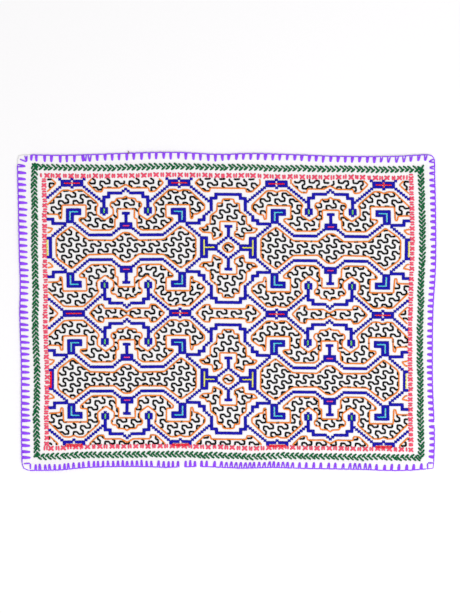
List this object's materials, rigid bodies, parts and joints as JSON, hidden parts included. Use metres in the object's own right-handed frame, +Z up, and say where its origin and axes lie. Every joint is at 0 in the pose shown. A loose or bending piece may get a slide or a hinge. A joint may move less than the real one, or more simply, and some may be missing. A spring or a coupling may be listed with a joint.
{
  "type": "embroidered cloth",
  "caption": "Flat hemmed cotton cloth with a stitched labyrinth pattern, chevron and cross borders and a blanket-stitched edge.",
  "frame": {"origin": "on the surface the cloth lies on, under the middle of its outline", "axes": "+X to the cloth's right edge along its longer side, +Y to its top edge, +Z up out of its stitched face"},
  "size_m": [0.6048, 0.46, 0.0029],
  "materials": {
    "cotton": "bleached plain-woven cotton, dull",
    "navy_thread": "six-strand cotton embroidery thread, soft sheen",
    "orange_thread": "six-strand cotton embroidery thread, soft sheen",
    "black_thread": "six-strand cotton embroidery thread, soft sheen",
    "green_thread": "six-strand cotton embroidery thread, soft sheen",
    "pink_thread": "six-strand cotton embroidery thread, soft sheen",
    "purple_thread": "six-strand cotton embroidery thread, soft sheen",
    "accent_threads": "six-strand cotton embroidery threads in small bright fills, soft sheen"
  },
  "bodies": {
    "root": {"cloth": "cotton"}
  },
  "joints": []
}
